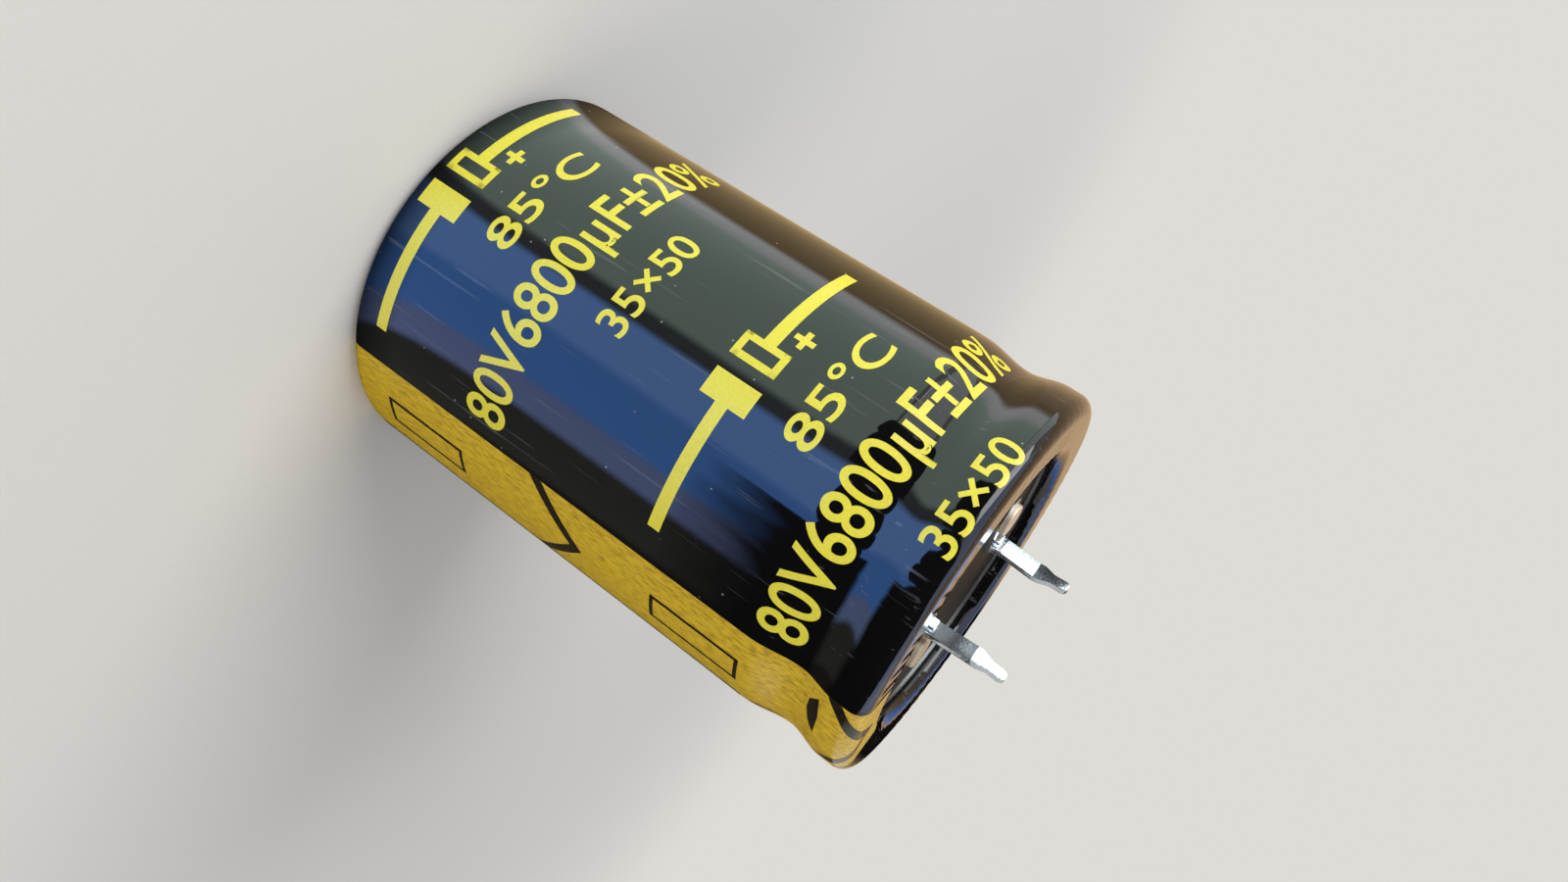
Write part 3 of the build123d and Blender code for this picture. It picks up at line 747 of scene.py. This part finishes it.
print_pitch = 28.6
ink_lift = 0.012
side_grid = 0.4
rim_grid = 0.12
stripe_half = math.tau * stripe_turns / turns * case_radius
box_first = 4.8
box_length = 8.2
box_half_width = 1.45
box_line = 0.36
arrow_first = 20.5
arrow_reach = 4.5
arrow_gap = 1.25
# A small patch in the marks' black, just under the rim beside the second arrow.
rim_patch = ((-3.8, 48.6), (-2.9, 47.8), (-1.7, 47.8), (-0.3, 48.3), (0.6, 49.0), (-1.9, 49.0))
for repeat, grid in ((0, side_grid), (1, rim_grid)):
    start = repeat * print_pitch
    marks = bmesh.new()
    box_low = start + box_first
    outline(marks, -box_half_width, box_low, box_half_width, box_low + box_length, box_line)
    edge_low, tip_low = start + arrow_first, start + arrow_first + arrow_reach
    for side in (-stripe_half, stripe_half):
        patch(marks, ((side, edge_low), (0, tip_low), (0, tip_low + arrow_gap), (side, edge_low + arrow_gap)))
    if repeat:
        patch(marks, rim_patch)
    wrap_print(f"stripe_marks_{repeat + 1}", marks, ink_lift, grid, mark_ink)

# Rating print: plain numbers and the symbol of a polarised capacitor in lemon ink, set round the can with
# their feet towards the terminals, twice along the tube and twice round it.
# Lemon ink: opaque and half glossy, with a fine uneven grain of about 0.25 mm where it took badly.
rating_ink, tree = new_material("lemon_rating_ink")
place = add(tree, "ShaderNodeTexCoord").outputs["Object"]
grain = add(tree, "ShaderNodeTexNoise", {"Vector": place, "Scale": 1 / (0.25 * mm), "Detail": 2.0})
tone = add(tree, "ShaderNodeMix", {"Factor": grain.outputs["Fac"], "A": linear("#cfc41f"),
                                   "B": linear("#e6dd45")}, data_type="RGBA")
shader = add(tree, "ShaderNodeBsdfPrincipled", {"Base Color": tone.outputs["Result"], "Roughness": 0.35,
                                                "IOR": 1.5})
add(tree, "ShaderNodeOutputMaterial", {"Surface": shader.outputs["BSDF"]})

letter_weight = 0.012


def lettering(flat, words, size, start, end, foot):
    """Add a row of letters to a flat print, from a start to an end round the can, standing on a foot line."""
    curve = bpy.data.curves.new("letters", "FONT")
    curve.body = words
    curve.size = size
    curve.offset = letter_weight * size
    maker = bpy.data.objects.new("letters", curve)
    bpy.context.scene.collection.objects.link(maker)
    bpy.context.view_layer.update()
    shape = bpy.data.meshes.new_from_object(maker)
    left = min(vert.co.x for vert in shape.vertices)
    right = max(vert.co.x for vert in shape.vertices)
    stretch = (end - start) / (right - left)
    for vert in shape.vertices:
        vert.co = (start + (vert.co.x - left) * stretch, foot - vert.co.y, 0)
    flat.from_mesh(shape)
    bpy.data.objects.remove(maker)
    bpy.data.curves.remove(curve)
    bpy.data.meshes.remove(shape)


def round_can(degrees):
    """Length in mm round the can for an angle from the stripe's middle."""
    return math.radians(degrees) * case_radius


value_row = {"words": "80V6800µF±20%", "size": 5.6, "start": round_can(-21), "end": round_can(-124),
             "foot": 17.2}
heat_row = {"words": "85°C", "size": 3.7, "start": round_can(-62), "end": round_can(-98), "foot": 10.8}
size_row = {"words": "35×50", "size": 3.7, "start": round_can(-60), "end": round_can(-92), "foot": 22.8}
symbol_start = round_can(-26)
symbol_end = round_can(-114)
symbol_height = 3.5
symbol_lead = 1.1
plate_tall = 4.0
plate_wide = 2.2
plate_line = 0.6
plate_gap = 1.3
plus_across = 1.7
plus_arm = plus_across / 2
plus_rise = plus_across * 0.75
plus_line = 0.5
print_repeats = 2
for side, half_turn in (("front", 0), ("back", math.pi)):
    for repeat in range(print_repeats):
        start = repeat * print_pitch
        flat = bmesh.new()
        for row in (value_row, heat_row, size_row):
            lettering(flat, **{**row, "foot": start + row["foot"]})
        middle = (symbol_start + symbol_end) / 2
        level = start + symbol_height
        inner = middle + plate_gap / 2
        bar(flat, (symbol_start, level), (inner + plate_wide, level), symbol_lead)
        bar(flat, (inner, level), (inner + plate_wide, level), plate_tall)
        inner = middle - plate_gap / 2
        outline(flat, inner - plate_wide + plate_line / 2, level - plate_tall / 2 + plate_line / 2,
                inner - plate_line / 2, level + plate_tall / 2 - plate_line / 2, plate_line)
        bar(flat, (inner - plate_wide, level), (symbol_end, level), symbol_lead)
        plus_place = inner - plate_wide - plus_across
        plus_level = level + symbol_lead / 2 + plus_rise
        bar(flat, (plus_place - plus_arm, plus_level), (plus_place + plus_arm, plus_level), plus_line)
        bar(flat, (plus_place, plus_level - plus_arm), (plus_place, plus_level + plus_arm), plus_line)
        for vert in flat.verts:
            vert.co.x += half_turn * case_radius
        wrap_print(f"rating_print_{side}_{repeat + 1}", flat, ink_lift, side_grid, rating_ink)
